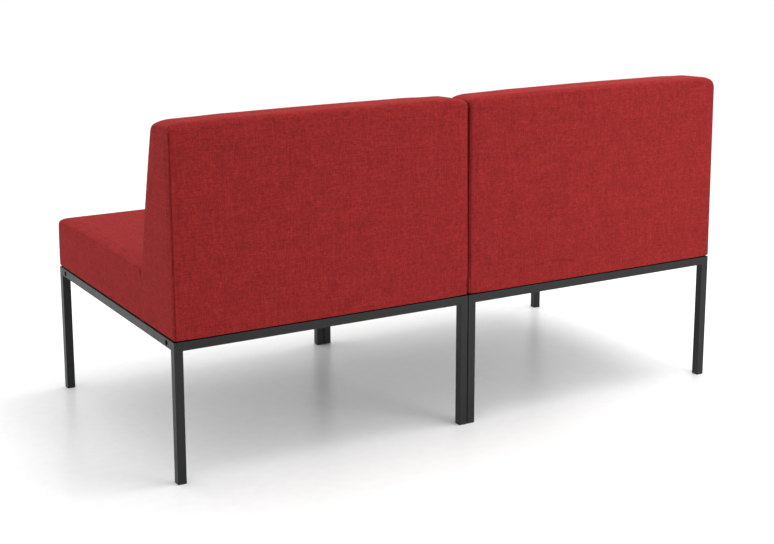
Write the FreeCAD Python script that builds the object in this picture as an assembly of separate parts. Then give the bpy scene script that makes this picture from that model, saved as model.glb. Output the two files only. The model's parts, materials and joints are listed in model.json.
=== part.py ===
"""Modular office sofa: two armless upholstered seats on square-tube frames, bolted side by side.

Millimetres. The origin is on the floor under the middle of the sofa, +Z is up and the sitter faces
-Y. The sitter's left is +X, so the left seat lies on +X and the right seat on -X.
"""
import FreeCAD, Part
import math
import os
from collections import namedtuple

V = FreeCAD.Vector
Side = namedtuple("Side", "bow reach drop crown")

# Steel frame of one seat
tube_side = 20.0
tube_wall = 1.5
tube_corner = 1.2
module_width = 732.0
module_depth = 740.0
rail_top = 315.0

# Plastic glides in the feet
glide_flange = 2.5
glide_plug = 15.0
glide_clearance = 0.1

# Bolts that link the two seats through the side rails that touch
link_gap = 1.6
link_hole = 9.0
link_inset = 43.0
link_bolt_diameter = 8.0
link_hex_flats = 13.0
link_head_height = 5.3
link_nut_height = 8.0
link_thread_past_nut = 3.0
link_washer_diameter = 16.0
link_washer_bore = 8.4
link_washer_thickness = 1.6

# Plates welded on top of the rails to carry the upholstery
plate_thickness = 2.0
plate_setback = 12.0
corner_plate_side = 72.0
corner_plate_chamfer = 30.0
side_plate_width = 62.0
side_plate_length = 124.0
plate_hole_inset = 45.0
plate_hole_from_seam = 40.0

# Bolts and T-nuts that hold the upholstery on the plates
fixing_bolt_diameter = 6.0
fixing_hole_clearance = 1.0
fixing_head_diameter = 12.0
fixing_head_height = 4.0
tnut_flange_diameter = 19.0
tnut_flange_thickness = 1.5
tnut_barrel_wall = 1.0
tnut_barrel_length = 12.0
tnut_bore_clearance = 0.1

# Upholstery
cover_thickness = 1.2
cloth_thickness = 0.8
cloth_setback = 12.0
hem_width = 25.0
soft_gap = 0.3
board_thickness = 18.0
board_setback = 12.0
cover_proud_side = 0.6
cover_proud_end = 1.5
foot_radius = 3.0
upright_edge_reach = 5.0
rounding_steps = 3
crown_steps = 4

# Seat
seat_height = 438.0
seat_crown = 5.0
seat_front_bow = 2.0
seat_front_radius = 12.0
seat_rear_radius = 12.0
seat_upright_radius = 4.0
seat_side_reach = 26.0
seat_side_drop = 9.0
seat_draw_in = 1.0

# Back
back_height = 780.0
back_foot_depth = 182.0
back_top_depth = 97.0
back_top_fall = 5.0
back_lean = 4.0
back_bend_below_seat = 13.0
back_front_bow = 5.0
back_top_crown = 3.0
back_top_front_radius = 20.0
back_top_rear_radius = 15.0
back_front_upright_radius = 8.0
back_rear_upright_radius = 4.0
back_side_reach = 40.0
back_side_drop = 13.0
back_draw_in = 2.0

# Plywood carcass in the back
carcass_side_setback = 12.0
carcass_foot_setback = 12.0
carcass_front_setback = 42.0
carcass_rear_setback = 8.0
carcass_top_setback = 14.0
cheek_thickness = 15.0
front_panel_thickness = 9.0
rear_panel_thickness = 4.0
screw_diameter = 4.0
screw_length = 45.0
screw_head_diameter = 8.0
screw_head_height = 2.5
screw_pitch = 20.0

# Levels and lines that follow from the sizes above
half_width = module_width / 2
front = -module_depth / 2
rear = module_depth / 2
seam = rear - back_foot_depth
rail_middle = rail_top - tube_side / 2
plate_top = rail_top + plate_thickness
cover_bottom = plate_top + cloth_thickness
board_bottom = cover_bottom + cover_thickness
board_top = board_bottom + board_thickness
module_shift = (module_width + link_gap) / 2
tnut_bore_diameter = fixing_bolt_diameter + tnut_bore_clearance
tnut_barrel_diameter = tnut_bore_diameter + 2 * tnut_barrel_wall
link_places = (front + link_inset, rear - link_inset)
seat_bolt_places = (front + plate_hole_inset, seam - plate_hole_from_seam)
back_bolt_places = (seam + plate_hole_from_seam, rear - plate_hole_inset)
bolt_columns = (-half_width + plate_hole_inset, half_width - plate_hole_inset)

X_AXIS = V(1, 0, 0)
Y_AXIS = V(0, 1, 0)
Z_AXIS = V(0, 0, 1)
TINY = 1e-6


def block(low, high):
    """Rectangular block between two opposite corners."""
    size = high - low
    return Part.makeBox(size.x, size.y, size.z, low)


def cylinder_up(diameter, height, x, y, z):
    """Upright cylinder standing at x, y, z."""
    return Part.makeCylinder(diameter / 2, height, V(x, y, z), Z_AXIS)


def cylinder_across(diameter, length, x, y, z):
    """Cylinder lying along +X from x, y, z."""
    return Part.makeCylinder(diameter / 2, length, V(x, y, z), X_AXIS)


def rounded_bar(low, high, direction):
    """Square bar with its four long edges rounded as a drawn tube's are."""
    bar = block(low, high)
    long_edges = []
    for edge in bar.Edges:
        run = edge.Vertexes[1].Point - edge.Vertexes[0].Point
        if run.cross(direction).Length < TINY:
            long_edges.append(edge)
    return bar.makeFillet(tube_corner, long_edges)


def square_tube(low, high, direction):
    """Hollow square tube that fills the box from low to high and is open at both ends."""
    wall = (V(1, 1, 1) - direction) * tube_wall
    return rounded_bar(low, high, direction).cut(block(low + wall, high - wall))


def hex_prism(flats, height, x, y, z):
    """Hexagon lying along +X from x, y, z, with two flats level."""
    corner = flats / 2 / math.cos(math.radians(30))
    points = []
    for step in range(7):
        angle = math.radians(60 * step)
        points.append(V(x, y + corner * math.cos(angle), z + corner * math.sin(angle)))
    return Part.Face(Part.makePolygon(points)).extrude(V(height, 0, 0))


def profile_prism(corners, x_low, x_high):
    """Side profile, a polygon of y and z, given a width along X."""
    points = [V(x_low, corner.y, corner.z) for corner in corners + corners[:1]]
    return Part.Face(Part.makePolygon(points)).extrude(V(x_high - x_low, 0, 0))


def inset_profile(corners, insets):
    """Move each side of a side profile inward by its own distance.

    The corners run from the foot's front to its rear and on round, and side i starts at corner i.
    """
    lines = []
    for i, start in enumerate(corners):
        run = (corners[(i + 1) % len(corners)] - start).normalize()
        lines.append((start + X_AXIS.cross(run) * insets[i], run))
    moved = []
    for i, (start, run) in enumerate(lines):
        before, before_run = lines[i - 1]
        reach = (start - before).cross(run).x / before_run.cross(run).x
        moved.append(before + before_run * reach)
    return moved


def rounded_profile(corners, radii, bows, place):
    """Closed wire of a side profile with rounded corners and bowed sides, moved by place.

    radii holds one radius for each corner, and bows how far each side swells outward.
    """
    count = len(corners)
    arrivals = []
    departures = []
    middles = []
    for i, corner in enumerate(corners):
        back_way = (corners[i - 1] - corner).normalize()
        on_way = (corners[(i + 1) % count] - corner).normalize()
        half_angle = back_way.getAngle(on_way) / 2
        reach = radii[i] / math.tan(half_angle)
        inward = (back_way + on_way).normalize()
        arrivals.append(corner + back_way * reach)
        departures.append(corner + on_way * reach)
        middles.append(corner + inward * (radii[i] / math.sin(half_angle) - radii[i]))
    edges = []
    for i in range(count):
        following = (i + 1) % count
        start = departures[i]
        end = arrivals[following]
        if bows[i] > TINY:
            outward = (end - start).cross(X_AXIS).normalize()
            swell = (start + end) / 2 + outward * bows[i]
            edges.append(Part.Arc(place(start), place(swell), place(end)).toShape())
        else:
            edges.append(Part.LineSegment(place(start), place(end)).toShape())
        if radii[following] > 0:
            arc = Part.Arc(place(end), place(middles[following]), place(departures[following]))
            edges.append(arc.toShape())
    return Part.Wire(edges)


def edge_share(distance, reach):
    """Share of an edge's full drop at a distance in from the end face: a quarter of an ellipse."""
    if distance >= reach:
        return 0.0
    return 1 - math.sqrt(1 - (1 - distance / reach) ** 2)


def end_distances(long_reach):
    """Distances in from an end face where the rounding of its edges needs a profile."""
    distances = []
    for step in range(rounding_steps + 1):
        angle = math.pi / 2 * step / rounding_steps
        distances.append(upright_edge_reach * (1 - math.cos(angle)))
    for step in range(rounding_steps + 1):
        angle = math.pi / 4 * (1 + step / rounding_steps)
        distances.append(long_reach * (1 - math.cos(angle)))
    return distances


def upholstered_form(corners, radii, sides, draw_in, skin):
    """Soft block lofted across the seat's width, moved inward by skin on every side.

    Each station across the width is a rounded side profile. A side swells by its bow. Near both end
    faces it drops over its reach, which rounds the end faces' edges, and its crown falls away from
    the middle towards both ends. draw_in pulls both end faces in towards the top.
    """
    half = half_width + cover_proud_side - skin
    low = min(corner.z for corner in corners)
    high = max(corner.z for corner in corners)
    distances = end_distances(max(side.reach for side in sides))
    places = [half - distance for distance in distances]
    inner = places[-1]
    places += [inner * (1 - step / crown_steps) for step in range(1, crown_steps)]
    places = places + [0.0] + [-x for x in reversed(places)]
    tight_radii = [max(radius - skin, 0) for radius in radii]
    wires = []
    for x in places:
        fall = (x / half) ** 4
        insets = []
        for side in sides:
            drop = (side.drop - skin) * edge_share(half - abs(x), side.reach)
            insets.append(skin + drop + side.crown * fall)

        def place(point):
            pull = draw_in * (point.z - low) / (high - low)
            return V(x * (1 - pull / half_width), point.y, point.z)

        bows = [side.bow * (1 - fall / 2) for side in sides]
        wires.append(rounded_profile(inset_profile(corners, insets), tight_radii, bows, place))
    return Part.makeLoft(wires, True, True)


def foot_side():
    """Underside of a soft block, rounded at both ends as the cloth turns under the board."""
    return Side(bow=0, reach=upright_edge_reach, drop=foot_radius, crown=0)


def upright_side(radius, bow=0.0):
    """Upright side of a soft block with tight edges at both ends."""
    return Side(bow=bow, reach=upright_edge_reach, drop=radius, crown=0)


def seat_form(skin):
    """Outer form of the seat, crowned on top and slightly bowed in front."""
    seat_front = front - cover_proud_end + seat_front_bow
    seat_rear = seam - soft_gap / 2
    corners = [
        V(0, seat_front, cover_bottom),
        V(0, seat_rear, cover_bottom),
        V(0, seat_rear, seat_height),
        V(0, seat_front, seat_height),
    ]
    radii = [foot_radius, foot_radius, seat_rear_radius, seat_front_radius]
    sides = [
        foot_side(),
        upright_side(seat_upright_radius),
        Side(bow=seat_crown, reach=seat_side_reach, drop=seat_side_drop, crown=0),
        upright_side(seat_upright_radius, seat_front_bow),
    ]
    return upholstered_form(corners, radii, sides, seat_draw_in, skin)


def back_corners():
    """Corners of the back's side profile: foot front and rear, top rear and front, and the bend."""
    foot_front = seam + soft_gap / 2
    foot_rear = rear + cover_proud_end
    top_rear = foot_rear - back_lean
    return [
        V(0, foot_front, cover_bottom),
        V(0, foot_rear, cover_bottom),
        V(0, top_rear, back_height),
        V(0, top_rear - back_top_depth, back_height - back_top_fall),
        V(0, foot_front, seat_height - back_bend_below_seat),
    ]


def back_form(skin):
    """Outer form of the back: upright behind, sloping in front above the seat, highest at the rear."""
    radii = [foot_radius, foot_radius, back_top_rear_radius, back_top_front_radius, 0]
    sides = [
        foot_side(),
        upright_side(back_rear_upright_radius),
        Side(bow=0, reach=back_side_reach, drop=back_side_drop, crown=back_top_crown),
        upright_side(back_front_upright_radius, back_front_bow),
        upright_side(back_front_upright_radius),
    ]
    return upholstered_form(back_corners(), radii, sides, back_draw_in, skin)


def stapled_cover(form, y_low, y_high):
    """Cloth cover over a form, turned under it and open inside a hem along the foot."""
    opening = block(
        V(-half_width + hem_width, y_low + hem_width, cover_bottom - cover_thickness),
        V(half_width - hem_width, y_high - hem_width, board_top),
    )
    return form(0).cut(form(cover_thickness)).cut(opening)


def carcass_profile():
    """Side profile of the back's carcass, inside the foam."""
    foot_front, foot_rear, top_rear, top_front = back_corners()[:4]
    carcass_top = back_height - carcass_top_setback
    return [
        V(0, foot_front.y + carcass_foot_setback, board_bottom),
        V(0, foot_rear.y - carcass_rear_setback, board_bottom),
        V(0, top_rear.y - carcass_rear_setback, carcass_top),
        V(0, top_front.y + carcass_front_setback, carcass_top),
    ]


def bolt_grid(places):
    """Every bolt position in x and y for the given places along Y."""
    return [(x, y) for y in places for x in bolt_columns]


def fixing_bolts(places):
    """Machine bolts with heads under the plates, reaching to the top of the boards."""
    bolts = []
    for x, y in bolt_grid(places):
        head = cylinder_up(fixing_head_diameter, fixing_head_height, x, y, rail_top - fixing_head_height)
        shank = cylinder_up(fixing_bolt_diameter, board_top - rail_top, x, y, rail_top)
        bolts.append(head.fuse(shank))
    return bolts


def tnuts(places):
    """T-nuts with their flanges on the boards and their barrels inside them."""
    nuts = []
    barrel_bottom = board_top - tnut_barrel_length
    height = tnut_barrel_length + tnut_flange_thickness
    for x, y in bolt_grid(places):
        flange = cylinder_up(tnut_flange_diameter, tnut_flange_thickness, x, y, board_top)
        barrel = cylinder_up(tnut_barrel_diameter, tnut_barrel_length, x, y, barrel_bottom)
        bore = cylinder_up(tnut_bore_diameter, height, x, y, barrel_bottom)
        nuts.append(flange.fuse(barrel).cut(bore))
    return nuts


def drill_board(board, places):
    """Board with a hole for each T-nut's barrel and the bolt below it."""
    for x, y in bolt_grid(places):
        board = board.cut(cylinder_up(tnut_barrel_diameter, board_thickness, x, y, board_bottom))
    return board


def plate_hole(x, y):
    """Cutter for a bolt hole through a plate and the dust cloth on it."""
    diameter = fixing_bolt_diameter + fixing_hole_clearance
    return cylinder_up(diameter, plate_thickness + cloth_thickness, x, y, rail_top)


def corner_plates():
    """Plate over each corner of the frame, with its inner corner cut off."""
    plates = []
    near = plate_setback
    far = corner_plate_side
    cut = corner_plate_chamfer
    outline = [(near, near), (far, near), (far, far - cut), (far - cut, far), (near, far), (near, near)]
    for hand_x in (-1, 1):
        for hand_y in (-1, 1):
            points = []
            for along, across in outline:
                points.append(V(hand_x * (half_width - along), hand_y * (rear - across), rail_top))
            plate = Part.Face(Part.makePolygon(points)).extrude(V(0, 0, plate_thickness))
            hole = plate_hole(hand_x * (half_width - plate_hole_inset), hand_y * (rear - plate_hole_inset))
            plates.append(plate.cut(hole))
    return plates


def side_plates():
    """Plate on each side rail under the seam, which holds the seat's rear and the back's front."""
    plates = []
    for hand in (-1, 1):
        edges = sorted((hand * (half_width - plate_setback), hand * (half_width - side_plate_width)))
        plate = block(
            V(edges[0], seam - side_plate_length / 2, rail_top),
            V(edges[1], seam + side_plate_length / 2, plate_top),
        )
        for y in (seam - plate_hole_from_seam, seam + plate_hole_from_seam):
            plate = plate.cut(plate_hole(hand * (half_width - plate_hole_inset), y))
        plates.append(plate)
    return plates


def dust_cloths():
    """Thin cloth under the seat and another under the back."""
    cloths = []
    for y_low, y_high, places in ((front, seam, seat_bolt_places), (seam, rear, back_bolt_places)):
        cloth = block(
            V(-half_width + cloth_setback, y_low + cloth_setback, plate_top),
            V(half_width - cloth_setback, y_high - cloth_setback, cover_bottom),
        )
        for x, y in bolt_grid(places):
            cloth = cloth.cut(plate_hole(x, y))
        cloths.append(cloth)
    return cloths


def leg(hand_x, hand_y):
    """Leg tube at one corner, from the glide's flange to the top of the rails."""
    xs = sorted((hand_x * half_width, hand_x * (half_width - tube_side)))
    ys = sorted((hand_y * rear, hand_y * (rear - tube_side)))
    return square_tube(V(xs[0], ys[0], glide_flange), V(xs[1], ys[1], rail_top), Z_AXIS)


def cross_rail(hand_y):
    """Front or rear rail between two legs."""
    ys = sorted((hand_y * rear, hand_y * (rear - tube_side)))
    reach = half_width - tube_side
    return square_tube(V(-reach, ys[0], rail_top - tube_side), V(reach, ys[1], rail_top), X_AXIS)


def side_rail(hand_x):
    """Side rail between two legs, with the linking holes through it."""
    xs = sorted((hand_x * half_width, hand_x * (half_width - tube_side)))
    reach = rear - tube_side
    rail = square_tube(V(xs[0], -reach, rail_top - tube_side), V(xs[1], reach, rail_top), Y_AXIS)
    for y in link_places:
        rail = rail.cut(cylinder_across(link_hole, tube_side, xs[0], y, rail_middle))
    return rail


def leg_glides():
    """Glide in each foot: a flange as wide as the tube, and a plug inside it."""
    glides = []
    plug_inset = tube_wall + glide_clearance
    for hand_x in (-1, 1):
        for hand_y in (-1, 1):
            xs = sorted((hand_x * half_width, hand_x * (half_width - tube_side)))
            ys = sorted((hand_y * rear, hand_y * (rear - tube_side)))
            flange = rounded_bar(V(xs[0], ys[0], 0), V(xs[1], ys[1], glide_flange), Z_AXIS)
            plug = block(
                V(xs[0] + plug_inset, ys[0] + plug_inset, glide_flange),
                V(xs[1] - plug_inset, ys[1] - plug_inset, glide_flange + glide_plug),
            )
            glides.append(flange.fuse(plug))
    return glides


def frame_pieces(end_hand):
    """Steel frame of one seat, with the glides and the plates on it."""
    pieces = {}
    for hand_x in (-1, 1):
        end = "end" if hand_x == end_hand else "middle"
        pieces[f"front_{end}_leg"] = [leg(hand_x, -1)]
        pieces[f"rear_{end}_leg"] = [leg(hand_x, 1)]
        pieces[f"{end}_side_rail"] = [side_rail(hand_x)]
    pieces["front_rail"] = [cross_rail(-1)]
    pieces["rear_rail"] = [cross_rail(1)]
    pieces["leg_glides"] = leg_glides()
    pieces["corner_plates"] = corner_plates()
    pieces["side_plates"] = side_plates()
    return pieces


def seat_pieces():
    """Seat: board, foam wrapped over the board's edges, cover, and what bolts it down."""
    board = block(
        V(-half_width + board_setback, front + board_setback, board_bottom),
        V(half_width - board_setback, seam - board_setback, board_top),
    )
    foam = seat_form(cover_thickness + soft_gap).cut(board)
    for x, y in bolt_grid(seat_bolt_places):
        pocket = cylinder_up(tnut_flange_diameter, tnut_flange_thickness, x, y, board_top)
        foam = foam.cut(pocket)
    return {
        "seat_board": [drill_board(board, seat_bolt_places)],
        "seat_tnuts": tnuts(seat_bolt_places),
        "seat_bolts": fixing_bolts(seat_bolt_places),
        "seat_foam": [foam],
        "seat_cover": [stapled_cover(seat_form, front, seam)],
    }


def carcass_screws(profile):
    """Countersunk screws through both cheeks into the base board and the top rail."""
    screws = []
    foot_front, foot_rear, top_rear, top_front = profile
    rows = (
        (foot_front.y, foot_rear.y, board_bottom + board_thickness / 2),
        (top_front.y, top_rear.y, top_rear.z - board_thickness / 2),
    )
    cheek_face = half_width - carcass_side_setback
    for hand in (-1, 1):
        inward = V(-hand, 0, 0)
        for y_low, y_high, z in rows:
            middle = (y_low + y_high) / 2
            for y in (middle - screw_pitch / 2, middle + screw_pitch / 2):
                start = V(hand * cheek_face, y, z)
                shank = Part.makeCylinder(screw_diameter / 2, screw_length, start, inward)
                head = Part.makeCone(
                    screw_head_diameter / 2, screw_diameter / 2, screw_head_height, start, inward
                )
                screws.append(shank.fuse(head))
    return screws


def back_pieces(end_hand):
    """Back: plywood carcass, foam jacket, cover, and what bolts it down."""
    whole = carcass_profile()
    behind_panel = inset_profile(whole, [0, 0, 0, front_panel_thickness])
    before_panel = inset_profile(whole, [0, rear_panel_thickness, 0, 0])
    inside = inset_profile(whole, [0, rear_panel_thickness, 0, front_panel_thickness])
    side = half_width - carcass_side_setback
    between = side - cheek_thickness
    screws = carcass_screws(inside)
    core = profile_prism(inside, -between, between)
    slab_low = V(-between, front, board_bottom)
    slab_high = V(between, rear, board_top)
    to_top_rail = V(0, 0, back_height - carcass_top_setback - board_top)
    base_board = core.common(block(slab_low, slab_high))
    top_rail = core.common(block(slab_low + to_top_rail, slab_high + to_top_rail))
    front_strip = [whole[0], behind_panel[0], behind_panel[3], whole[3]]
    rear_strip = [before_panel[1], whole[1], whole[2], before_panel[2]]
    hollow = profile_prism(whole, -side, side)
    foam = back_form(cover_thickness + soft_gap).cut(hollow)
    pieces = {
        "back_base_board": [drill_board(base_board, back_bolt_places).cut(screws)],
        "back_top_rail": [top_rail.cut(screws)],
        "back_front_panel": [profile_prism(front_strip, -side, side)],
        "back_rear_panel": [profile_prism(rear_strip, -side, side)],
        "back_screws": screws,
        "back_tnuts": tnuts(back_bolt_places),
        "back_bolts": fixing_bolts(back_bolt_places),
        "back_foam": [foam],
        "back_cover": [stapled_cover(back_form, seam, rear)],
    }
    for hand in (-1, 1):
        end = "end" if hand == end_hand else "middle"
        edges = sorted((hand * between, hand * side))
        pieces[f"back_{end}_cheek"] = [profile_prism(inside, *edges).cut(screws)]
    return pieces


def link_pieces():
    """Bolts, washers and lock nuts that draw the two middle side rails together."""
    bolts = []
    washers = []
    nuts = []
    rail_face = link_gap / 2 + tube_side
    head_face = rail_face + link_washer_thickness
    shank_end = -head_face - link_nut_height - link_thread_past_nut
    for y in link_places:
        shank = cylinder_across(link_bolt_diameter, head_face - shank_end, shank_end, y, rail_middle)
        bolts.append(hex_prism(link_hex_flats, link_head_height, head_face, y, rail_middle).fuse(shank))
        nut = hex_prism(link_hex_flats, link_nut_height, -head_face - link_nut_height, y, rail_middle)
        nuts.append(nut.cut(shank))
        for x, thickness in (
            (rail_face, link_washer_thickness),
            (-link_gap / 2, link_gap),
            (-head_face, link_washer_thickness),
        ):
            disc = cylinder_across(link_washer_diameter, thickness, x, y, rail_middle)
            washers.append(disc.cut(cylinder_across(link_washer_bore, thickness, x, y, rail_middle)))
    return {"link_bolts": bolts, "link_washers": washers, "link_nuts": nuts}


def sofa_nodes():
    """All pieces of the sofa by node name, each a list of solids in place."""
    nodes = {}
    for side_name, end_hand in (("left", 1), ("right", -1)):
        pieces = frame_pieces(end_hand)
        pieces["dust_cloths"] = dust_cloths()
        pieces.update(seat_pieces())
        pieces.update(back_pieces(end_hand))
        shift = V(end_hand * module_shift, 0, 0)
        for name, solids in pieces.items():
            nodes[f"{side_name}_{name}"] = [solid.translated(shift) for solid in solids]
    nodes.update(link_pieces())
    return nodes


os.makedirs("parts", exist_ok=True)
for node, solids in sofa_nodes().items():
    shape = Part.makeCompound(solids) if len(solids) > 1 else solids[0]
    shape.exportStep(f"parts/{node}.step")
    print(node, len(shape.Solids), "solids", round(shape.Volume), "mm3", shape.isValid())
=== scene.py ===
# %% [markdown]
# # A two-seat sofa in red cloth on black tube frames
# Two equal armless seats stand side by side. Each has a welded frame of square steel tube, an
# upholstered seat and an upholstered wedge for a back. The steel comes from the CAD model as it is,
# and gets its finish here. The cloth is made new, because upholstery is soft and tight at once, and
# only a mesh can show that.

# %% Load the CAD model
import json
import math

import bmesh
import bpy
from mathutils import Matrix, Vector
from mathutils.bvhtree import BVHTree
from mathutils.kdtree import KDTree


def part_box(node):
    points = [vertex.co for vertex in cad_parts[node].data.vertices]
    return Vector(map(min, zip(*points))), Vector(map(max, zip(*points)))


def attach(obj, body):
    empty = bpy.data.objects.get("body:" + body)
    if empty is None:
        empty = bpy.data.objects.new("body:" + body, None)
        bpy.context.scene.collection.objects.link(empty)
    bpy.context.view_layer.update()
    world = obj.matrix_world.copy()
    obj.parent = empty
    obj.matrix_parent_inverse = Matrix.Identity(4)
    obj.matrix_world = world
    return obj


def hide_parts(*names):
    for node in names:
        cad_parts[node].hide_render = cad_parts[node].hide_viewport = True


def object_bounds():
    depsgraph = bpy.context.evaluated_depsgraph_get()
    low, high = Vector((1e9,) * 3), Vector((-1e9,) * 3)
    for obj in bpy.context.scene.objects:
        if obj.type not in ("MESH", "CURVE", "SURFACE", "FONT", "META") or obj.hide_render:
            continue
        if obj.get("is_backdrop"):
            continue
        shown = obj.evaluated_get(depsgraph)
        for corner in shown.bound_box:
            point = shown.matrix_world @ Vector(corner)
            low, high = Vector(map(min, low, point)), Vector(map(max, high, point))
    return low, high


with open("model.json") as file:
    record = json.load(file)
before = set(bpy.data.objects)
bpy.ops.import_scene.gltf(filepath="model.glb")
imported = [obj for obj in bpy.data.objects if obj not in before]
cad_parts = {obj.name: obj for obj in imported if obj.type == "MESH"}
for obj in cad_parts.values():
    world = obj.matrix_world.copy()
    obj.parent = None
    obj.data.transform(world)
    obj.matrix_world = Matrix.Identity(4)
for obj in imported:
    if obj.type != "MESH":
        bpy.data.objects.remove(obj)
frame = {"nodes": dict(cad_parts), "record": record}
nodes = frame["nodes"]
cad_low, cad_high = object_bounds()
scene = bpy.context.scene
print("nodes:", len(nodes), "size in metres:", [round(s, 4) for s in cad_high - cad_low])

# %% [markdown]
# ## The camera
# The sofa is seen from behind and to its left, from about head height. The camera looks down a
# little, and a small vertical shift keeps the legs and the top of the backs both in the picture.

# %% Camera
camera_data = bpy.data.cameras.new("studio_camera")
camera_data.sensor_width = 36
camera_data.lens = 70.519
camera_data.shift_y = -0.10
camera = bpy.data.objects.new("studio_camera", camera_data)
camera.location = (1.8754, 3.2077, 1.2724)
yaw, pitch = math.radians(30.273), math.radians(11.941)
level = math.cos(pitch)
looking = Vector((-math.sin(yaw) * level, -math.cos(yaw) * level, -math.sin(pitch)))
camera.rotation_mode = "QUATERNION"
camera.rotation_quaternion = looking.to_track_quat("-Z", "Y")
scene.collection.objects.link(camera)
scene.camera = camera
print("camera looks along", [round(c, 3) for c in looking])

# %% [markdown]
# ## Wiring shader nodes
# Every finish here is a small tree of nodes. A few helpers keep the wiring short: they start a
# material or a node group with named sockets, and they add a node that takes either plain numbers or
# the outputs of other nodes. A Mix node has a pair of sockets for each kind of value, all with the
# same two names, so these are told apart by their place.

# %% Node helpers
MIX_NUMBERS, MIX_COLOURS = (2, 3), (6, 7)
MIXED_COLOUR = 2


def new_material(name):
    """A material with its tree and its Principled shader."""
    material = bpy.data.materials.new(name)
    material.use_nodes = True
    return material, material.node_tree, material.node_tree.nodes["Principled BSDF"]


def new_group(name, inputs, outputs):
    """A shader node group whose sockets are given as (name, kind) pairs."""
    group = bpy.data.node_groups.new(name, "ShaderNodeTree")
    for label, kind in inputs:
        group.interface.new_socket(label, in_out="INPUT", socket_type="NodeSocket" + kind)
    for label, kind in outputs:
        group.interface.new_socket(label, in_out="OUTPUT", socket_type="NodeSocket" + kind)
    return group, group.nodes.new("NodeGroupInput").outputs, group.nodes.new("NodeGroupOutput").inputs


def feed(tree, socket, value):
    """Puts a number, a vector or another node's output into a socket."""
    if isinstance(value, bpy.types.NodeSocket):
        tree.links.new(value, socket)
    else:
        socket.default_value = value


def node(tree, kind, *values, **settings):
    """A node with its settings, its first inputs fed in order; gives back the node."""
    made = tree.nodes.new("ShaderNode" + kind)
    for name, value in settings.items():
        setattr(made, name, value)
    for socket, value in zip(made.inputs, values):
        feed(tree, socket, value)
    return made


def math_of(tree, operation, *values):
    """The result of one maths node."""
    return node(tree, "Math", *values, operation=operation).outputs[0]


def spread(tree, value, low, high):
    """A value from 0 to 1 spread between two others."""
    return math_of(tree, "MULTIPLY_ADD", value, high - low, low)


def noise(tree, vector, scale, detail=2.0):
    """Soft noise from about 0.3 to 0.7."""
    made = node(tree, "TexNoise", vector)
    made.inputs["Scale"].default_value = scale
    made.inputs["Detail"].default_value = detail
    return made.outputs[0]


def place(tree, group, **values):
    """A node group placed in a material with its own values."""
    made = tree.nodes.new("ShaderNodeGroup")
    made.node_tree = group
    for label, value in values.items():
        feed(tree, made.inputs[label], value)
    return made.outputs


def bump(tree, shader, height, strength, distance):
    """Relief on the surface, from a height."""
    made = node(tree, "Bump")
    made.inputs["Strength"].default_value = strength
    made.inputs["Distance"].default_value = distance
    tree.links.new(height, made.inputs["Height"])
    tree.links.new(made.outputs["Normal"], shader.inputs["Normal"])


def ramp(tree, value, *stops):
    """A colour picked along a ramp of (position, colour) stops."""
    made = node(tree, "ValToRGB", value)
    stretch = made.color_ramp
    while len(stretch.elements) < len(stops):
        stretch.elements.new(0.5)
    for element, (position, colour) in zip(stretch.elements, stops):
        element.position = position
        element.color = (*colour, 1)
    return made.outputs[0]


print("node helpers ready")

# %% [markdown]
# ## A woven melange
# The cover is a flat-woven cloth of thick yarns that were dyed before they were spun, so one thread
# goes from dark to bright red along its length. From a few metres that reads as short dashes, some
# across and some upright, over a slow cloudy drift. A picture of cloth would do, but it would repeat.
# Here each yarn gets a random tone for each short length of it, and warp and weft take turns on top
# like the squares of a chess board, as in any plain weave.

# %% Weave group
SLOW_FLECKS = 7.5
FLECK_SHARE, SLOW_SHARE = 0.7, 0.3
START_SPREAD, SEED_STEP = 9.0, 50
WEFT_SEED, WARP_SEED = 0.5, 977.5
CLOUD_SCALE, CLOUD_SPAN = 26.0, 0.26
TONE_RELIEF = 0.4

weave, weave_in, weave_out = new_group(
    "melange_weave",
    (("Cloth", "Vector"), ("Yarn", "Float"), ("Fleck", "Float")),
    (("Tone", "Float"), ("Height", "Float")),
)


def strands(tree, across):
    """The number of the yarn at each place, for the yarns of one direction."""
    return math_of(tree, "FLOOR", math_of(tree, "DIVIDE", across, weave_in["Yarn"]))


def yarn_tone(tree, strand, along, seed):
    """The random tone along each yarn: short flecks, and a slower change over some of them."""
    strand = math_of(tree, "ADD", strand, seed)
    start = node(tree, "TexWhiteNoise", noise_dimensions="1D")
    tree.links.new(strand, start.inputs["W"])
    tones = []
    for flecks in (1.0, SLOW_FLECKS):
        run = math_of(tree, "DIVIDE", along, math_of(tree, "MULTIPLY", weave_in["Fleck"], flecks))
        step = math_of(tree, "FLOOR", math_of(tree, "MULTIPLY_ADD", start.outputs[0], START_SPREAD, run))
        cell = node(tree, "CombineXYZ", step, math_of(tree, "ADD", strand, SEED_STEP * flecks))
        tones.append(node(tree, "TexWhiteNoise", cell.outputs[0], noise_dimensions="2D").outputs[0])
    slow = math_of(tree, "MULTIPLY", tones[1], SLOW_SHARE)
    return math_of(tree, "MULTIPLY_ADD", tones[0], FLECK_SHARE, slow)


def yarn_round(tree, across):
    """The rounded height of each yarn of one direction."""
    turn = math_of(tree, "MULTIPLY", math_of(tree, "DIVIDE", across, weave_in["Yarn"]), math.pi)
    return math_of(tree, "ABSOLUTE", math_of(tree, "SINE", turn))


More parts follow.
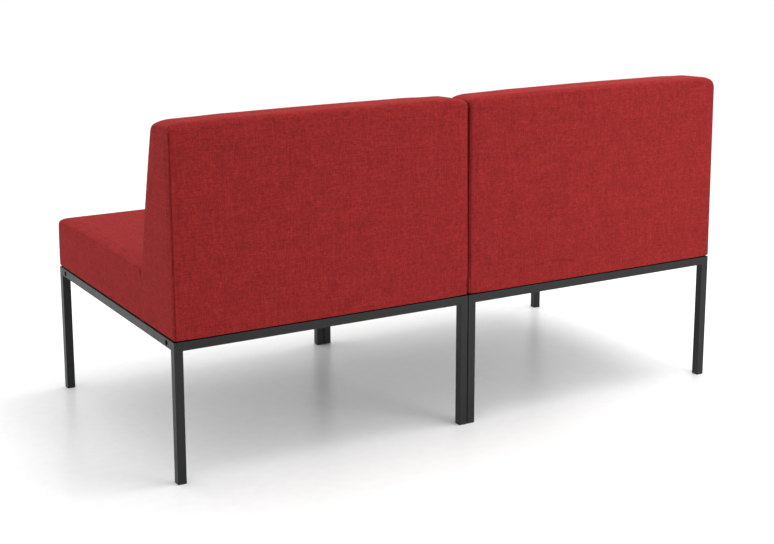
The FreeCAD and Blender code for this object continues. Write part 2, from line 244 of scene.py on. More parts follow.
weave_uv = node(weave, "SeparateXYZ", weave_in["Cloth"]).outputs
wefts, warps = strands(weave, weave_uv[1]), strands(weave, weave_uv[0])
on_top = math_of(weave, "FLOORED_MODULO", math_of(weave, "ADD", wefts, warps), 2.0)
yarns = node(weave, "Mix", on_top, data_type="FLOAT")
feed(weave, yarns.inputs[MIX_NUMBERS[0]], yarn_tone(weave, wefts, weave_uv[0], WEFT_SEED))
feed(weave, yarns.inputs[MIX_NUMBERS[1]], yarn_tone(weave, warps, weave_uv[1], WARP_SEED))
cloud = noise(weave, weave_in["Cloth"], CLOUD_SCALE)
cloud = math_of(weave, "MULTIPLY_ADD", cloud, CLOUD_SPAN, -CLOUD_SPAN / 2)
feed(weave, weave_out["Tone"], math_of(weave, "ADD", yarns.outputs[0], cloud))
over = math_of(weave, "MULTIPLY", yarn_round(weave, weave_uv[0]), yarn_round(weave, weave_uv[1]))
feed(weave, weave_out["Height"], math_of(weave, "MULTIPLY_ADD", yarns.outputs[0], TONE_RELIEF, over))
print("weave nodes:", len(weave.nodes))

# %% [markdown]
# ## Red upholstery cloth
# The cloth is matt, deep red and a little hairy, so it shows almost no gloss face on and a faint
# lighter edge at a low angle. Sheen gives that edge. The ramp turns the yarns' tones into reds, and
# the stitched seams carry an attribute that paints shade into the cloth in their fold.

# %% Red cloth
red_cloth, tree, shader = new_material("red_cloth")
cloth_uv = node(tree, "UVMap", uv_map="cloth").outputs[0]
woven = place(tree, weave, Cloth=cloth_uv, Yarn=0.0018, Fleck=0.0072)
reds = ramp(
    tree,
    woven["Tone"],
    (0.0, (0.117, 0.0104, 0.0106)),
    (0.35, (0.184, 0.0138, 0.0141)),
    (0.65, (0.224, 0.0161, 0.0163)),
    (1.0, (0.302, 0.0222, 0.0219)),
)
# Painted shade: the seam weight multiplies the reds darker along each seam's fold.
seam_shade = node(tree, "Attribute", attribute_name="seam").outputs["Fac"]
seam_shaded = node(tree, "Mix", data_type="RGBA", blend_type="MULTIPLY")
feed(tree, seam_shaded.inputs[0], seam_shade)
feed(tree, seam_shaded.inputs[MIX_COLOURS[0]], reds)
feed(tree, seam_shaded.inputs[MIX_COLOURS[1]], (0.66, 0.62, 0.62, 1))
feed(tree, shader.inputs["Base Color"], seam_shaded.outputs[MIXED_COLOUR])
feed(tree, shader.inputs["Roughness"], spread(tree, woven["Tone"], low=0.98, high=0.86))
shader.inputs["Specular IOR Level"].default_value = 0.05
shader.inputs["Sheen Weight"].default_value = 0.18
shader.inputs["Sheen Roughness"].default_value = 0.45
shader.inputs["Sheen Tint"].default_value = (1.0, 0.11, 0.11, 1)
bump(tree, shader, woven["Height"], strength=0.35, distance=0.0006)
print("made", red_cloth.name)

# %% [markdown]
# ## Satin powder coat, moulded plastic and rubber
# Powder coat melts into a skin that is never quite flat: a fine ripple called orange peel. Moulded
# plastic and rubber have a similar grain, only finer. One group makes the ripple for all three, each
# with its own scale.

# %% Fine ripple group
ripple, ripple_in, ripple_out = new_group(
    "fine_ripple",
    (("Place", "Vector"), ("Scale", "Float")),
    (("Height", "Float"), ("Tone", "Float")),
)
finer = node(ripple, "VectorMath", ripple_in["Place"], operation="SCALE")
feed(ripple, finer.inputs["Scale"], ripple_in["Scale"])
feed(ripple, ripple_out["Height"], noise(ripple, finer.outputs[0], scale=1.0))
feed(ripple, ripple_out["Tone"], noise(ripple, finer.outputs[0], scale=0.06, detail=3.0))
print("ripple nodes:", len(ripple.nodes))

# %% Powder coat, plastic, rubber
def rippled(name, dark, bright, smooth, rough, gloss, scale, relief):
    """A coated or moulded finish with a fine ripple."""
    material, tree, shader = new_material(name)
    here = node(tree, "TexCoord").outputs["Object"]
    skin = place(tree, ripple, Place=here, Scale=scale)
    feed(tree, shader.inputs["Base Color"], ramp(tree, skin["Tone"], (0.3, dark), (0.7, bright)))
    feed(tree, shader.inputs["Roughness"], spread(tree, skin["Tone"], smooth, rough))
    shader.inputs["Specular IOR Level"].default_value = gloss
    bump(tree, shader, skin["Height"], strength=0.25, distance=relief)
    return material


powder_coat = rippled(
    "powder_coat",
    dark=(0.0066, 0.0068, 0.0072),
    bright=(0.0096, 0.0098, 0.0102),
    smooth=0.34,
    rough=0.5,
    gloss=0.25,
    scale=700.0,
    relief=0.0002,
)
# Black rubber for the bushes and rail strips; its black is also painted shade in the link holes and in
# the gap under the cloth.
black_rubber_shade = rippled(
    "black_rubber_shade",
    dark=(0.0025, 0.0025, 0.0026),
    bright=(0.0040, 0.0040, 0.0042),
    smooth=0.85,
    rough=0.95,
    gloss=0.08,
    scale=1500.0,
    relief=0.0001,
)
glide_plastic = rippled(
    "glide_plastic",
    dark=(0.010, 0.010, 0.011),
    bright=(0.016, 0.016, 0.017),
    smooth=0.45,
    rough=0.6,
    gloss=0.4,
    scale=1500.0,
    relief=0.0001,
)
print("made", powder_coat.name, glide_plastic.name, black_rubber_shade.name)

# %% [markdown]
# ## Zinc, plywood and hardboard
# The fasteners are zinc plated. The boards that carry the upholstery are birch plywood, with its
# long grain along the sofa, and hardboard with short pressed fibres. All of these sit inside or
# under the sofa, and they still get their own grain.

# %% Grain group
grain, grain_in, grain_out = new_group(
    "stretched_grain",
    (("Place", "Vector"), ("Stretch", "Vector"), ("Scale", "Float")),
    (("Tone", "Float"), ("Height", "Float")),
)
stretched = node(grain, "VectorMath", grain_in["Place"], grain_in["Stretch"], operation="MULTIPLY")
scaled = node(grain, "VectorMath", stretched.outputs[0], operation="SCALE")
feed(grain, scaled.inputs["Scale"], grain_in["Scale"])
feed(grain, grain_out["Tone"], noise(grain, scaled.outputs[0], scale=1.0, detail=5.0))
feed(grain, grain_out["Height"], noise(grain, scaled.outputs[0], scale=6.0))
print("grain nodes:", len(grain.nodes))

# %% Zinc and boards
def grained(name, stretch, scale, dark, bright, smooth, rough, relief, metal=0.0):
    """A finish with grain that is stretched along the object's axes."""
    material, tree, shader = new_material(name)
    here = node(tree, "TexCoord").outputs["Object"]
    figure = place(tree, grain, Place=here, Stretch=stretch, Scale=scale)
    feed(tree, shader.inputs["Base Color"], ramp(tree, figure["Tone"], (0.3, dark), (0.7, bright)))
    feed(tree, shader.inputs["Roughness"], spread(tree, figure["Tone"], smooth, rough))
    shader.inputs["Metallic"].default_value = metal
    bump(tree, shader, figure["Height"], strength=0.3, distance=relief)
    return material


plywood = grained(
    "plywood",
    stretch=(0.06, 1, 1),
    scale=160.0,
    dark=(0.42, 0.27, 0.14),
    bright=(0.62, 0.45, 0.27),
    smooth=0.55,
    rough=0.75,
    relief=0.0002,
)
hardboard = grained(
    "hardboard",
    stretch=(1, 1, 1),
    scale=420.0,
    dark=(0.13, 0.075, 0.04),
    bright=(0.22, 0.13, 0.07),
    smooth=0.6,
    rough=0.8,
    relief=0.0002,
)
zinc_plate = grained(
    "zinc_plate",
    stretch=(1, 1, 1),
    scale=900.0,
    dark=(0.50, 0.51, 0.53),
    bright=(0.66, 0.67, 0.69),
    smooth=0.28,
    rough=0.42,
    relief=0.00005,
    metal=1.0,
)
print("made", plywood.name, hardboard.name, zinc_plate.name)

# %% [markdown]
# ## Black dust cloth
# Under each seat a thin felted cloth keeps dust out of the foam. It is pressed together with rows of
# tiny dimples, and those rows are what the eye knows it by.

# %% Dust cloth finish
dust_cloth, tree, shader = new_material("dust_cloth")
here = node(tree, "TexCoord").outputs["Object"]
dimples = node(tree, "TexVoronoi", here)
dimples.inputs["Scale"].default_value = 420.0
dimples.inputs["Randomness"].default_value = 0.15
fuzz = noise(tree, here, scale=900.0, detail=3.0)
felt = ramp(tree, fuzz, (0.3, (0.012, 0.012, 0.013)), (0.7, (0.028, 0.028, 0.03)))
feed(tree, shader.inputs["Base Color"], felt)
feed(tree, shader.inputs["Roughness"], spread(tree, fuzz, low=0.82, high=0.95))
shader.inputs["Specular IOR Level"].default_value = 0.2
bump(tree, shader, dimples.outputs["Distance"], strength=0.4, distance=0.0005)
print("made", dust_cloth.name)

# %% [markdown]
# ## Finishes on the CAD nodes
# The record says which material slot each node of the CAD model has, so one table from slot to
# finish dresses all of the steel, plastic, wood and fasteners.

# %% Dress the CAD nodes
finishes = {
    "frame_steel": powder_coat,
    "zinc_steel": zinc_plate,
    "glide_plastic": glide_plastic,
    "plywood": plywood,
    "hardboard": hardboard,
    "foam": red_cloth,
    "red_cloth": red_cloth,
    "dust_cloth": dust_cloth,
}
for subpart in frame["record"]["subparts"]:
    mesh = nodes[subpart["node"]].data
    mesh.materials.clear()
    mesh.materials.append(finishes[subpart["material_slot"]])

# %% [markdown]
# ## The form under the cloth
# Seat and back are foam under one tight cover. The CAD cover has the right outer form, and that form
# bulges everywhere, so the hull of its points is the whole outer skin with nothing inside. A voxel
# remesh then gives the skin an even mesh, which cloth simulation needs. Remeshing cuts the corners a
# little, so each point goes back to the nearest place on the form.

# %% Outer form and even mesh
VOXEL = 0.005


def outer_form(cover):
    """The outer skin of a cover node as a closed bmesh."""
    form = bmesh.new()
    form.from_mesh(nodes[cover].data)
    bmesh.ops.remove_doubles(form, verts=form.verts[:], dist=1e-5)
    bmesh.ops.delete(form, geom=form.edges[:] + form.faces[:], context="EDGES_FACES")
    bmesh.ops.convex_hull(form, input=form.verts[:])
    bmesh.ops.delete(form, geom=[v for v in form.verts if not v.link_faces], context="VERTS")
    bmesh.ops.recalc_face_normals(form, faces=form.faces[:])
    return form


def shown_copy(name, form):
    """An object made from a bmesh, which is freed."""
    mesh = bpy.data.meshes.new(name)
    form.to_mesh(mesh)
    form.free()
    piece = bpy.data.objects.new(name, mesh)
    scene.collection.objects.link(piece)
    return piece


def applied(piece):
    """The mesh of a piece with its modifiers applied."""
    return bpy.data.meshes.new_from_object(piece.evaluated_get(bpy.context.evaluated_depsgraph_get()))


def even_mesh(form):
    """A form as an object with an even mesh of small squares, every point on the form."""
    skin = BVHTree.FromBMesh(form)
    piece = shown_copy("even_form", form)
    remesh = piece.modifiers.new("even", "REMESH")
    remesh.mode = "VOXEL"
    remesh.voxel_size = VOXEL
    remeshed = applied(piece)
    piece.modifiers.clear()
    piece.data = remeshed
    for v in remeshed.vertices:
        v.co = skin.find_nearest(v.co)[0]
    return piece


print("voxel in mm:", VOXEL * 1000)

# %% [markdown]
# ## Filling the cover
# Foam presses outwards until the cloth is tight. Blender's Cloth does that with a pressure: the skin
# starts a little small, its foot is pinned where the cloth is stapled to the board, and twenty
# frames of pressure round it out. Cloth can't sink into foam, so a point may only move outwards from
# the CAD form, by no more than a cap, and the box of the cover keeps it clear of the next cushion.

# %% Fill by cloth simulation
START_IN, CAP, HEM = 0.0015, 0.0030, 0.010
FRAMES = 20


def fill(piece, low, high):
    """Rounds an even form out by cloth pressure, inside the box it was given."""
    mesh = piece.data
    start = [(v.co.copy(), v.normal.copy()) for v in mesh.vertices]
    for v, (_, outwards) in zip(mesh.vertices, start):
        v.co -= START_IN * outwards
    stapled = piece.vertex_groups.new(name="stapled")
    stapled.add([v.index for v in mesh.vertices if v.co.z < low.z + HEM], 1.0, "REPLACE")
    cloth = piece.modifiers.new("filling", "CLOTH")
    cloth.settings.quality = 3
    cloth.settings.mass = 0.3
    cloth.settings.tension_stiffness = 25
    cloth.settings.compression_stiffness = 25
    cloth.settings.shear_stiffness = 12
    cloth.settings.bending_stiffness = 2
    cloth.settings.use_pressure = True
    cloth.settings.uniform_pressure_force = 1.0
    cloth.settings.effector_weights.gravity = 0
    cloth.settings.vertex_group_mass = "stapled"
    cloth.collision_settings.use_collision = False
    cloth.point_cache.frame_start, cloth.point_cache.frame_end = 1, FRAMES
    for count in range(1, FRAMES + 1):
        scene.frame_set(count)
    pressed = applied(piece)
    swells = []
    for v, (first, outwards), now in zip(mesh.vertices, start, pressed.vertices):
        swells.append((now.co - first).dot(outwards))
        v.co = first + outwards * min(max(swells[-1], 0.0), CAP)
        for axis in range(3):
            v.co[axis] = min(max(v.co[axis], low[axis]), high[axis])
    piece.modifiers.clear()
    piece.vertex_groups.clear()
    scene.frame_set(1)
    bpy.data.meshes.remove(pressed)
    swells.sort()
    sampled = [swells[int(share * (len(swells) - 1))] for share in (0, 0.1, 0.5, 0.9, 1)]
    print("filled", len(swells), "points; swell in mm:", [round(s * 1000, 2) for s in sampled])


def filled_form(cover):
    """A cover's outer form, filled, as a bmesh."""
    low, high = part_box(cover)
    piece = even_mesh(outer_form(cover))
    fill(piece, low, high)
    form = bmesh.new()
    form.from_mesh(piece.data)
    bpy.data.objects.remove(piece)
    return form


seat_form = filled_form("left_seat_cover")
back_form = filled_form("left_back_cover")
print("seat faces:", len(seat_form.faces), "back faces:", len(back_form.faces))

# %% [markdown]
# ## Where the cushions press on each other
# The back stands hard against the rear of the seat, so the two upright edges that touch are squashed
# square and hardly any groove is left between them. The even mesh is too coarse for a sharp edge, so
# the faces along these edges are cut finer first, and then their points slide onto the two planes
# that meet there.

# %% Square the edges that touch
PRESSED, PRESSED_EDGE, PRESSED_TOP, FADE = 0.009, 0.010, 0.425, 0.014
FACES_OUT, SIDE_CLEAR, SLIVER = 0.4, 0.0003, 2e-5


def by_edge(place, side, joint, reach):
    """Whether a place is near the upright edge of a cushion where it touches the other one."""
    return abs(place.x - side) < reach and abs(place.y - joint) < reach and place.z < PRESSED_TOP


def press_square(form, cover, joint, facing):
    """Squares both upright edges of a cushion at the plane where it touches the other one."""
    low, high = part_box(cover)
    for side, hand in ((low.x, -1), (high.x, 1)):
        edge_faces = [f for f in form.faces if by_edge(f.calc_center_median(), side, joint, PRESSED)]
        corner = {e for f in edge_faces for e in f.edges}
        bmesh.ops.subdivide_edges(form, edges=list(corner), cuts=2, use_grid_fill=True)
        form.normal_update()
        for v in [v for v in form.verts if by_edge(v.co, side, joint, PRESSED_EDGE)]:
            share = min(1.0, (PRESSED_TOP - v.co.z) / FADE)
            outwards = v.normal.copy()
            if outwards.x * hand > FACES_OUT:
                v.co.x += (side - hand * SIDE_CLEAR - v.co.x) * share
            if outwards.y * facing > FACES_OUT:
                v.co.y += (joint - v.co.y) * share
    bmesh.ops.remove_doubles(form, verts=form.verts[:], dist=SLIVER)


seat_box, back_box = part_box("left_seat_cover"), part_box("left_back_cover")
press_square(seat_form, "left_seat_cover", seat_box[1].y, facing=1)
press_square(back_form, "left_back_cover", back_box[0].y, facing=-1)
print("squared; seat faces:", len(seat_form.faces), "back faces:", len(back_form.faces))

# %% [markdown]
# ## The hem and the gap between the seats
# The cloth is pulled under the board and stapled. Along the rear of the back the fold sags a little
# towards the rail and nearly closes the gap there, but not at the corners. Where the two seats stand
# side by side the cloth is pulled in along its rim, which leaves a dark line between them, and further
# in the two cushions press flat on each other. How far a point is from the rim comes from the nearest
# point that doesn't look straight at the other seat. The stapled foot doesn't count as rim.

# %% Roll the rear hem down and draw the inner side in
HEM_DROP, HEM_ROLL, HEM_FULLNESS, HEM_FROM_END = 0.0013, 0.010, 1.6, 0.06
DRAWN_IN, DRAWN_REACH = 0.0011, 0.02
TOUCH_FROM, TOUCH_FULL, TOUCH_GAP = 0.015, 0.055, 0.00003
FACES_SEAT, FACES_FLOOR = -0.95, -0.3


def roll_rear_hem(form, cover):
    """Lets the cloth's lowest edge at the rear hang a little below the board."""
    low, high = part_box(cover)
    for v in form.verts:
        inside, above = high.y - v.co.y, v.co.z - low.z
        if inside < HEM_ROLL and above < HEM_ROLL:
            from_end = min(v.co.x - low.x, high.x - v.co.x)
            share = min(1.0, HEM_FULLNESS * (1 - inside / HEM_ROLL) * (1 - above / HEM_ROLL))
            v.co.z -= HEM_DROP * share * min(1.0, from_end / HEM_FROM_END)


def draw_in(form, cover):
    """Pulls in the rim of the side that faces the other seat, and lets its middle touch."""
    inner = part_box(cover)[0].x
    form.normal_update()
    rim = [v.co.copy() for v in form.verts if v.normal.x > FACES_SEAT and v.normal.z > FACES_FLOOR]
    nearest = KDTree(len(rim))
    for index, place in enumerate(rim):
        nearest.insert(place, index)
    nearest.balance()
    for v in form.verts:
        from_rim = nearest.find(v.co)[2]
        touching = min(1.0, max(0.0, (from_rim - TOUCH_FROM) / (TOUCH_FULL - TOUCH_FROM)))
        touching *= touching * (3 - 2 * touching)
        drawn = v.co.x + DRAWN_IN * max(0.0, 1 - (v.co.x - inner) / DRAWN_REACH)
        if v.normal.x < FACES_SEAT:
            drawn += (TOUCH_GAP - drawn) * touching
        v.co.x = drawn


roll_rear_hem(back_form, "left_back_cover")
for form, cover in ((seat_form, "left_seat_cover"), (back_form, "left_back_cover")):
    draw_in(form, cover)
print("lowest point of the back in mm:", round(min(v.co.z for v in back_form.verts) * 1000, 2))

# %% [markdown]
# ## Sewn seams
# The rear of each back and the front of each seat are panels of their own, sewn in a few millimetres
# from the corner, and the seam shows as one dark upright line. Three cuts with a plane give the mesh
# edges to fold along, and the middle one is pressed into the foam. The cut points also carry a
# weight for the painted shade that darkens the cloth in the fold.

# %% Seams
SEAM_WIDTH, SEAM_DEPTH, SEAM_FROM_CORNER, SEAM_FADE = 0.0056, 0.0018, 0.0045, 0.02
PANEL_FACING, SEAM_REACH = 0.6, 4 * VOXEL


def sew_upright(form, x, facing, top):
    """Presses an upright seam into the faces that look along facing in Y, up to a height, and weights
    the painted shade in its fold.
    """
    seam_shade = form.verts.layers.float.get("seam") or form.verts.layers.float.new("seam")
    for offset in (-SEAM_WIDTH / 2, SEAM_WIDTH / 2, 0.0):
        form.normal_update()
        panel = [f for f in form.faces if f.normal.y * facing > PANEL_FACING]
        below = [f for f in panel if f.calc_center_median().z < top]
        near = [f for f in below if abs(f.calc_center_median().x - x) < SEAM_REACH]
        edges = {e for f in near for e in f.edges}
        points = {v for f in near for v in f.verts}
        cut = bmesh.ops.bisect_plane(
            form,
            geom=[*points, *edges, *near],
            dist=1e-6,
            plane_co=(x + offset, 0, 0),
            plane_no=(1, 0, 0),
        )
    for v in cut["geom_cut"]:
        if isinstance(v, bmesh.types.BMVert):
            share = min(1.0, max(0.0, (top - v.co.z) / SEAM_FADE))
            v.co.y -= facing * SEAM_DEPTH * share
            # weight of the painted shade that darkens the seam's fold
            v[seam_shade] = share


def sew_both_ends(form, cover, facing, below_top):
    """The same seam near both sides of a cushion."""
    low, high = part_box(cover)
    for x in (low.x + SEAM_FROM_CORNER, high.x - SEAM_FROM_CORNER):
        sew_upright(form, x, facing, high.z - below_top)
    bmesh.ops.dissolve_degenerate(form, dist=SLIVER, edges=form.edges[:])


sew_both_ends(back_form, "left_back_cover", facing=1, below_top=0.012)
sew_both_ends(seat_form, "left_seat_cover", facing=-1, below_top=0.014)
print("seams sewn; back faces:", len(back_form.faces))

# %% [markdown]
# ## Laying the weave on the cushions
# The threads run up the rear, over the top and down the front in one piece, and the side panels are
# cut with the thread upright. A UV map in metres says that: across is the X of the cloth, along is
# the length round the profile. Sides use Y and Z, and their cloth is stretched along Y as it is
# pulled on, so its yarns lie a little further apart.

# %% Cloth map
SIDE_CUT, SIDE_FACING, SIDE_SHIFT = 0.75, 0.72, 2.0
RIGHT_SHIFT, LEFT_SHIFT, SHIFT_ALONG = 3.1, 7.3, 0.37


def lay_cloth(form, cover, shift):
    """Writes the cloth map, in metres, on a cushion."""
    low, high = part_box(cover)
    layer = form.loops.layers.uv.new("cloth")
    form.normal_update()
    for face in form.faces:
        n = face.normal
        for loop in face.loops:
            p = loop.vert.co
            if abs(n.x) > SIDE_FACING:
                u, v = SIDE_CUT * p.y, p.z + SIDE_SHIFT
            elif abs(n.y) > abs(n.z):
                u, v = p.x, p.z if n.y > 0 else high.z + (high.y - low.y) + (high.z - p.z)
            else:
                u, v = p.x, high.z + (high.y - p.y)
            loop[layer].uv = (u + shift, v + SHIFT_ALONG * shift)


def cushion(name, form, cover, foam, shift):
    """A finished cushion that stands for its cover and foam."""
    lay_cloth(form, cover, shift)
    for face in form.faces:
        face.smooth = True
    piece = shown_copy(name, form)
    piece.data.materials.append(red_cloth)
    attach(piece, "root")
    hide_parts(cover, foam)
    print("made", name, "with", len(piece.data.polygons), "faces")


def other_side(form):
    """A copy of a form for the other seat, mirrored across the middle of the sofa."""
    copied = form.copy()
    bmesh.ops.scale(copied, vec=(-1, 1, 1), verts=copied.verts[:])
    bmesh.ops.reverse_faces(copied, faces=copied.faces[:])
    return copied


for part, form in (("seat", seat_form), ("back", back_form)):
    mirrored = other_side(form)
    cushion(f"right_{part}_cushion", mirrored, f"right_{part}_cover", f"right_{part}_foam", RIGHT_SHIFT)
    cushion(f"left_{part}_cushion", form, f"left_{part}_cover", f"left_{part}_foam", LEFT_SHIFT)

# %% [markdown]
# ## Dust cloths
# A black cloth is stapled under the seat board and another under the back. Its rim lies flat on the
# board, and its middle hangs a few millimetres low, less where the cloth is narrow. A grid with a
# gentle sag is enough, and Solidify gives it its thickness.

# %% Dust cloths under the seats and backs
CLOTH_THICKNESS, CLOTH_BELOW_BOARD, CLOTH_SAG = 0.0006, 0.0004, 0.0075


def dust_sheet(name, low, high):
    """A thin cloth held all round and hanging a little in the middle."""
    size = high - low
    form = bmesh.new()
    bmesh.ops.create_grid(form, x_segments=48, y_segments=32, size=0.5)
    bmesh.ops.scale(form, vec=(size.x, size.y, 1), verts=form.verts[:])
    middle = (low + high) / 2
    middle.z = high.z - CLOTH_BELOW_BOARD
    bmesh.ops.translate(form, vec=middle, verts=form.verts[:])
    for v in form.verts:
        across = 2 * (v.co.x - low.x) / size.x - 1
        along = 2 * (v.co.y - low.y) / size.y - 1
        v.co.z -= CLOTH_SAG * size.y * ((1 - across**2) * (1 - along**2)) ** 2
    for face in form.faces:
        face.smooth = True
    piece = shown_copy(name, form)
    piece.data.materials.append(dust_cloth)
    thick = piece.modifiers.new("thickness", "SOLIDIFY")
    thick.thickness = CLOTH_THICKNESS
    thick.offset = 0.0
    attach(piece, "root")
    return piece


for side in ("left", "right"):
    low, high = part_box(f"{side}_dust_cloths")
    joint = (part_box(f"{side}_seat_cover")[1].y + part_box(f"{side}_back_cover")[0].y) / 2
    seat_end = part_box(f"{side}_seat_board")[1].y
    back_start = 2 * joint - seat_end
    under_seat = dust_sheet(
        f"{side}_seat_dust_cloth", low, Vector((high.x, seat_end, high.z))
    )
    under_back = dust_sheet(
        f"{side}_back_dust_cloth", Vector((low.x, back_start, low.z)), high
    )
    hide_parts(f"{side}_dust_cloths")
    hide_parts(f"{side}_dust_cloths")
print("dust cloths made")

# %% [markdown]
# ## Ground welds
# The rails are welded between the legs, and the welds are ground flush before the coat goes on, so
# no joint shows. Two tubes with rounded corners leave a small upright groove there. A three-sided
# strip fills each groove, flush with both tubes. At an inner corner one strip serves both rails.

# %% Welds
TUBE, WELD = 0.020, 0.00126
RAIL_LOW, RAIL_HIGH = 0.2962, 0.3138


def weld_strip(form, corner, to_leg, inwards):
    """An upright three-sided strip with its outer corner at the end of a rail's face."""
    foot = [form.verts.new(corner + step) for step in (Vector(), WELD * to_leg, WELD * inwards)]
    face = form.faces.new(foot)
    raised = bmesh.ops.extrude_face_region(form, geom=[face])["geom"]
    lifted = [v for v in raised if isinstance(v, bmesh.types.BMVert)]
    bmesh.ops.translate(form, vec=(0, 0, RAIL_HIGH - RAIL_LOW), verts=lifted)


for side in ("left", "right"):
    form = bmesh.new()
    low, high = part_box(f"{side}_rear_rail")
    front_y, rear_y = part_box(f"{side}_front_rail")[0].y, high.y
    for x, to_leg in ((low.x, Vector((-1, 0, 0))), (high.x, Vector((1, 0, 0)))):
        for y, inwards in ((rear_y, -1), (rear_y - TUBE, 1), (front_y, 1), (front_y + TUBE, -1)):
            weld_strip(form, Vector((x, y, RAIL_LOW)), to_leg, Vector((0, inwards, 0)))
    seat_middle = (low.x + high.x) / 2
    for rail in ("end", "middle"):
        low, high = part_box(f"{side}_{rail}_side_rail")
        x, inwards = (low.x, 1) if low.x < seat_middle else (high.x, -1)
        for y, to_leg in ((low.y, Vector((0, -1, 0))), (high.y, Vector((0, 1, 0)))):
            weld_strip(form, Vector((x, y, RAIL_LOW)), to_leg, Vector((inwards, 0, 0)))
    bmesh.ops.recalc_face_normals(form, faces=form.faces[:])
    welds = shown_copy(f"{side}_frame_welds", form)
    welds.data.materials.append(powder_coat)
    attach(welds, "root")
    print("made", welds.name, "with", len(welds.data.polygons), "faces")

# %% [markdown]
# ## Bushes in the free linking holes
# The free ends of the sofa show two dark holes where another seat could be bolted on. A black rubber
# bush lines each one, so the coat isn't chipped by the bolt; its black is also painted shade, making
# each hole as dark as its shadowed inside. Its section is a few points, given in
# millimetres as the distance out of the rail's face and the radius, and one full spin makes the ring.

# %% Bushes
LINK_Y, LINK_Z = 0.327, 0.305
BUSH_BORE = [(-3.0, 4.2), (0.4, 4.2), (0.6, 4.5)]
BUSH_FLANGE = [(0.6, 5.7), (0.3, 6.2), (0.0, 6.2)]
BUSH_OUTSIDE = [(0.0, 4.45), (-3.0, 4.45)]


def bush(form, face_x, hand, y):
    """A flanged ring round the X axis, set in a hole of a rail's outer face."""
    section = [
        form.verts.new((face_x + hand * out / 1000, y, LINK_Z + radius / 1000))
        for out, radius in BUSH_BORE + BUSH_FLANGE + BUSH_OUTSIDE
    ]
    edges = [form.edges.new((section[i - 1], section[i])) for i in range(len(section))]
    bmesh.ops.spin(
        form,
        geom=section + edges,
        cent=(face_x, y, LINK_Z),
        axis=(1, 0, 0),
        angle=2 * math.pi,
        steps=32,
        use_merge=True,
    )


for side, hand in (("left", 1), ("right", -1)):
    form = bmesh.new()
    low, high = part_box(f"{side}_end_side_rail")
    for y in (-LINK_Y, LINK_Y):
        bush(form, high.x if hand > 0 else low.x, hand, y)
    bmesh.ops.remove_doubles(form, verts=form.verts[:], dist=1e-6)
    bmesh.ops.recalc_face_normals(form, faces=form.faces[:])
    for face in form.faces:
        face.smooth = True
    bushes = shown_copy(f"{side}_link_bushes", form)
    # The bushes' black rubber is partly painted shade for the holes.
    bushes.data.materials.append(black_rubber_shade)
    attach(bushes, "root")
    print("made", bushes.name, "with", len(bushes.data.polygons), "faces")

# %% [markdown]
# ## A black rubber strip on each rail, as painted shade
# The boards rest on the steel plates. Between the plates a black rubber strip lies on each rail, so
# that the boards don't drum on the steel. Its black is painted shade: it fills the gap under the cloth
# so that no light comes through and the gap reads as a dark shadow line. It is set as far in as the
# plates, so only a dark line shows. A bevelled bar makes each length.

# %% Rail strips
STRIP_WIDTH, STRIP_CLEAR, STRIP_EASE, CORNER_PLATE = 0.0055, 0.001, 0.0005, 0.060


def strip(form, low, high):
    """A bar with eased edges between two corners."""
    made = bmesh.ops.create_cube(form, size=1.0)["verts"]
    bmesh.ops.scale(form, vec=high - low, verts=made)
    bmesh.ops.translate(form, vec=(low + high) / 2, verts=made)
    edges = list({e for v in made for e in v.link_edges})
    bmesh.ops.bevel(
        form, geom=edges, offset=STRIP_EASE, affect="EDGES", segments=2, profile=0.5, material=-1
    )


for side in ("left", "right"):
    form = bmesh.new()
    low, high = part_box(f"{side}_corner_plates")
    seat_end, back_start = (corner.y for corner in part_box(f"{side}_side_plates"))
    from_corner = CORNER_PLATE + STRIP_CLEAR
    lines_y = (low.y + STRIP_CLEAR, high.y - STRIP_CLEAR - STRIP_WIDTH)
    lines_x = (low.x + STRIP_CLEAR, high.x - STRIP_CLEAR - STRIP_WIDTH)
    for y in lines_y:
        strip(
            form,
            Vector((low.x + from_corner, y, low.z)),
            Vector((high.x - from_corner, y + STRIP_WIDTH, high.z)),
        )
    seat_run = (low.y + from_corner, seat_end - STRIP_CLEAR)
    back_run = (back_start + STRIP_CLEAR, high.y - from_corner)
    for x in lines_x:
        for start, end in (seat_run, back_run):
            strip(form, Vector((x, start, low.z)), Vector((x + STRIP_WIDTH, end, high.z)))
    bmesh.ops.recalc_face_normals(form, faces=form.faces[:])
    # Black strips as painted shade in the gap under the cloth.
    shade_strips = shown_copy(f"{side}_rail_shade_strips", form)
    shade_strips.data.materials.append(black_rubber_shade)
    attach(shade_strips, "root")
    print("made", shade_strips.name, "with", len(shade_strips.data.polygons), "faces")

# %% [markdown]
# ## Floor, light and picture
# The sofa stands on a plain white floor in soft light from all round. A large lamp overhead makes the
# tops the brightest, a weaker one overhead reaches the seats from the front, and two low ones, one
# behind and one in front, lift the uprights. A soft shadow holds the legs down.

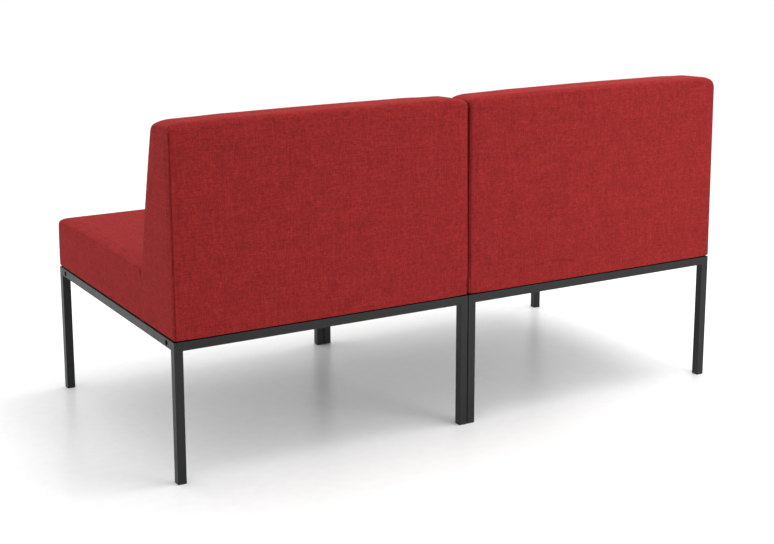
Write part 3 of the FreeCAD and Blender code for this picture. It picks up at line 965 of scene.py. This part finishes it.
# %% Studio
floor_form = bmesh.new()
bmesh.ops.create_grid(floor_form, x_segments=8, y_segments=8, size=30)
floor = shown_copy("floor", floor_form)
floor_paint, tree, shader = new_material("floor_paint")
here = node(tree, "TexCoord").outputs["Object"]
drift = noise(tree, here, scale=40.0, detail=4.0)
whites = ramp(tree, drift, (0.3, (0.86, 0.86, 0.86)), (0.7, (0.89, 0.89, 0.89)))
feed(tree, shader.inputs["Base Color"], whites)
shader.inputs["Roughness"].default_value = 0.28
shader.inputs["Specular IOR Level"].default_value = 0.22
floor.data.materials.append(floor_paint)
floor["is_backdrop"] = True

world = bpy.data.worlds.new("studio")
world.use_nodes = True
sky = world.node_tree.nodes["Background"]
sky.inputs["Color"].default_value = (1, 1, 1, 1)
sky.inputs["Strength"].default_value = 1.10
scene.world = world


def lamp(name, place, aim, size, watts):
    """A large soft square lamp."""
    data = bpy.data.lights.new(name, "AREA")
    data.shape = "SQUARE"
    data.size = size
    data.energy = watts
    made = bpy.data.objects.new(name, data)
    made.location = place
    made.rotation_mode = "QUATERNION"
    made.rotation_quaternion = (Vector(aim) - Vector(place)).to_track_quat("-Z", "Y")
    made.visible_camera = False
    scene.collection.objects.link(made)


lamp("overhead_lamp", place=(-1.1, 0.2, 2.8), aim=(0, 0, 0.4), size=2.0, watts=46)
lamp("front_overhead_lamp", place=(0, -1.1, 2.8), aim=(0, 0, 0.4), size=2.0, watts=10)
lamp("rear_lamp", place=(-0.9, 1.9, 0.85), aim=(-0.4, 0.37, 0.65), size=1.0, watts=14)
lamp("front_lamp", place=(2.8, -1.9, 0.4), aim=(0.6, -0.2, 0.3), size=1.4, watts=11)
scene.view_settings.view_transform = "Standard"
scene.view_settings.look = "None"
print("studio ready")

# %% [markdown]
# The sizes of the CAD model and of the dressed sofa are both printed. The dressed sofa has to
# stay the size of the CAD model.

# %% Sizes, and finish
seen_low, seen_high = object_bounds()
for label, size in (("cad", cad_high - cad_low), ("visual", seen_high - seen_low)):
    print(label, "size in metres:", [round(s, 4) for s in size])
